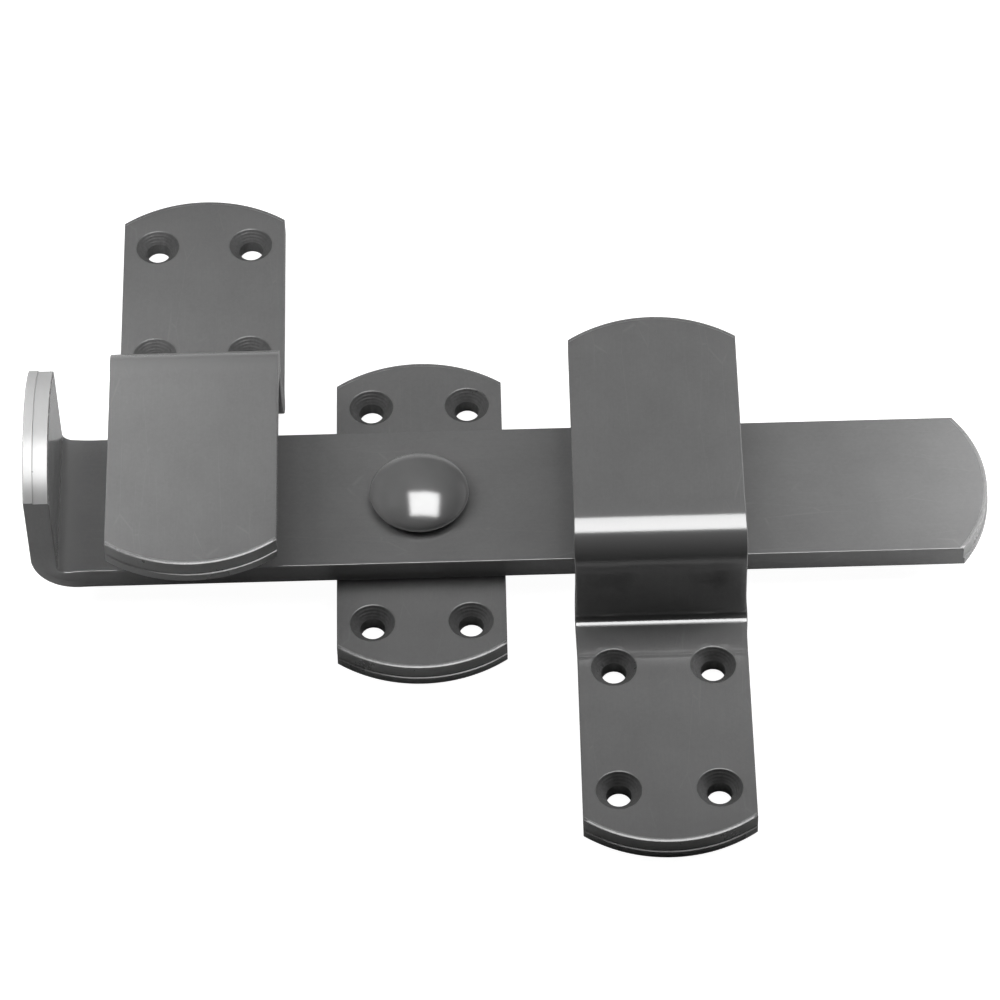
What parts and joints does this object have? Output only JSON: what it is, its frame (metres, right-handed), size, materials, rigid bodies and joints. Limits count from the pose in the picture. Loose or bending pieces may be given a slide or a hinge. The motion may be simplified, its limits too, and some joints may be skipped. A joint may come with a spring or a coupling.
{
  "type": "kick-over door latch",
  "caption": "Kick-over stable door latch: a riveted throw bar with a bent-up kick tab swings into and out of a pair of Z-shaped hook keeps.",
  "frame": {"origin": "on the pivot rivet's axis, in the plane of the plates' backs, which is the face of the door", "axes": "+X along the closed throw bar away from its kick tab, +Y up the door, +Z out of the door"},
  "size_m": [0.2271, 0.1988, 0.0455],
  "materials": {
    "plated_steel": "dark satin zinc plate on rolled flat bar, brighter along its eased edges and bends",
    "rivet_steel": "smoother satin zinc plate on a formed rivet head"
  },
  "bodies": {
    "mountings": {"pivot_plate": "plated_steel", "pivot_rivet": "rivet_steel", "left_keep": "plated_steel", "right_keep": "plated_steel"},
    "bar": {"throw_bar": "plated_steel"}
  },
  "joints": [
    {"name": "bar_pivot", "type": "hinge", "parent": "mountings", "child": "bar", "pos_m": [0, 0, 0.0091], "axis": [0, 0, 1], "range_deg": [-5, 106]}
  ]
}
